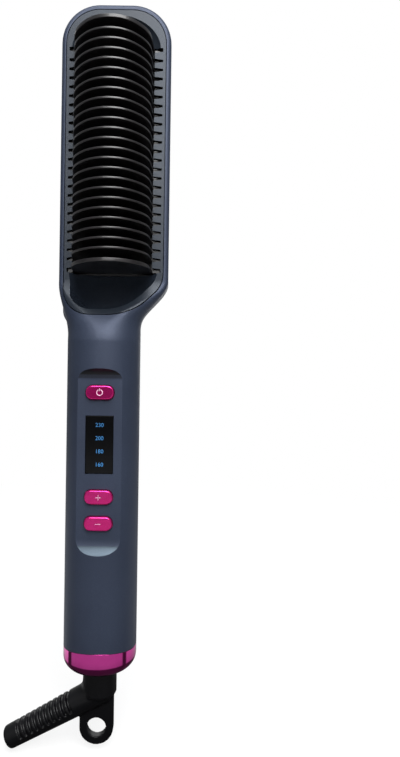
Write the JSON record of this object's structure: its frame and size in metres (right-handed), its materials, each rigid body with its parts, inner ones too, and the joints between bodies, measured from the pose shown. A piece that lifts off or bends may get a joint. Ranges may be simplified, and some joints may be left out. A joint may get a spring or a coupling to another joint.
{
  "type": "hair straightener brush",
  "caption": "Heated comb brush with a long flat head, round grip, push buttons, display window, bright trim and a swivelling ribbed cord tail with hanging loop.",
  "frame": {"origin": "on the handle's axis at the middle of the hand grip", "axes": "+Z along the handle to the tip of the head, -Y the comb and button side, +X the right-hand side seen from the comb side"},
  "size_m": [0.0702, 0.041, 0.3291],
  "materials": {
    "graphite_shell": "satin metallic graphite paint",
    "comb_coating": "ceramic coated aluminium, satin",
    "ptc_ceramic": "fired ceramic",
    "polyimide": "amber film",
    "spring_steel": "cold rolled",
    "insulator": "moulded heat-resistant plastic",
    "screw_steel": "zinc plated",
    "epoxy_black": "moulded epoxy",
    "fuse_metal": "drawn case",
    "silicone_lead": "silicone insulation",
    "magenta_plating": "mirror-bright magenta plating",
    "pearl_plate": "pearl lacquer with facet pattern",
    "smoked_window": "smoked, polished",
    "led_body": "clear moulded",
    "circuit_board": "green solder mask",
    "switch_black": "moulded",
    "capacitor_box": "moulded box",
    "terminal_green": "moulded",
    "fuse_glass": "clear tube",
    "contact_brass": "drawn",
    "tail_rubber": "moulded, matt"
  },
  "bodies": {
    "housing": {"front_shell": "graphite_shell", "back_shell": "graphite_shell", "comb_bezel": "graphite_shell", "heating_comb": "comb_coating", "ptc_heaters": "ptc_ceramic", "insulation_sheet": "polyimide", "heater_clamp_plate": "spring_steel", "clamp_spacers": "insulator", "clamp_screws": "screw_steel", "thermistor": "epoxy_black", "thermal_fuse": "fuse_metal", "heater_leads": "silicone_lead", "thermistor_leads": "silicone_lead", "back_trim_frame": "magenta_plating", "back_plate": "pearl_plate", "display_window": "smoked_window", "light_shield": "insulator", "temperature_leds": "led_body", "control_board": "circuit_board", "control_board_screws": "screw_steel", "tact_switches": "switch_black", "microcontroller": "epoxy_black", "board_header": "insulator", "power_board": "circuit_board", "power_board_screws": "screw_steel", "film_capacitor": "capacitor_box", "triac": "epoxy_black", "terminal_block": "terminal_green", "heater_terminal": "insulator", "mains_fuse": "fuse_glass", "dropper_resistor": "ptc_ceramic", "end_ring": "magenta_plating", "swivel_retainer": "insulator", "contact_block": "insulator", "contact_springs": "contact_brass", "supply_leads": "silicone_lead"},
    "power_button": {"power_button": "magenta_plating"},
    "plus_button": {"plus_button": "magenta_plating"},
    "minus_button": {"minus_button": "magenta_plating"},
    "cord_swivel": {"swivel_hub": "insulator", "slip_ring": "contact_brass", "slip_pin": "contact_brass", "cord_tail": "tail_rubber"}
  },
  "joints": [
    {"name": "power_button_press", "type": "slide", "parent": "housing", "child": "power_button", "axis": [0, 1, 0], "range_m": [0, 0.0005], "stiffness_N_per_m": 800},
    {"name": "plus_button_press", "type": "slide", "parent": "housing", "child": "plus_button", "axis": [0, 1, 0], "range_m": [0, 0.0005], "stiffness_N_per_m": 800},
    {"name": "minus_button_press", "type": "slide", "parent": "housing", "child": "minus_button", "axis": [0, 1, 0], "range_m": [0, 0.0005], "stiffness_N_per_m": 800},
    {"name": "cord_swivel_turn", "type": "hinge", "parent": "housing", "child": "cord_swivel", "pos_m": [0, 0, -0.08], "axis": [0, 0, 1], "continuous": true}
  ]
}
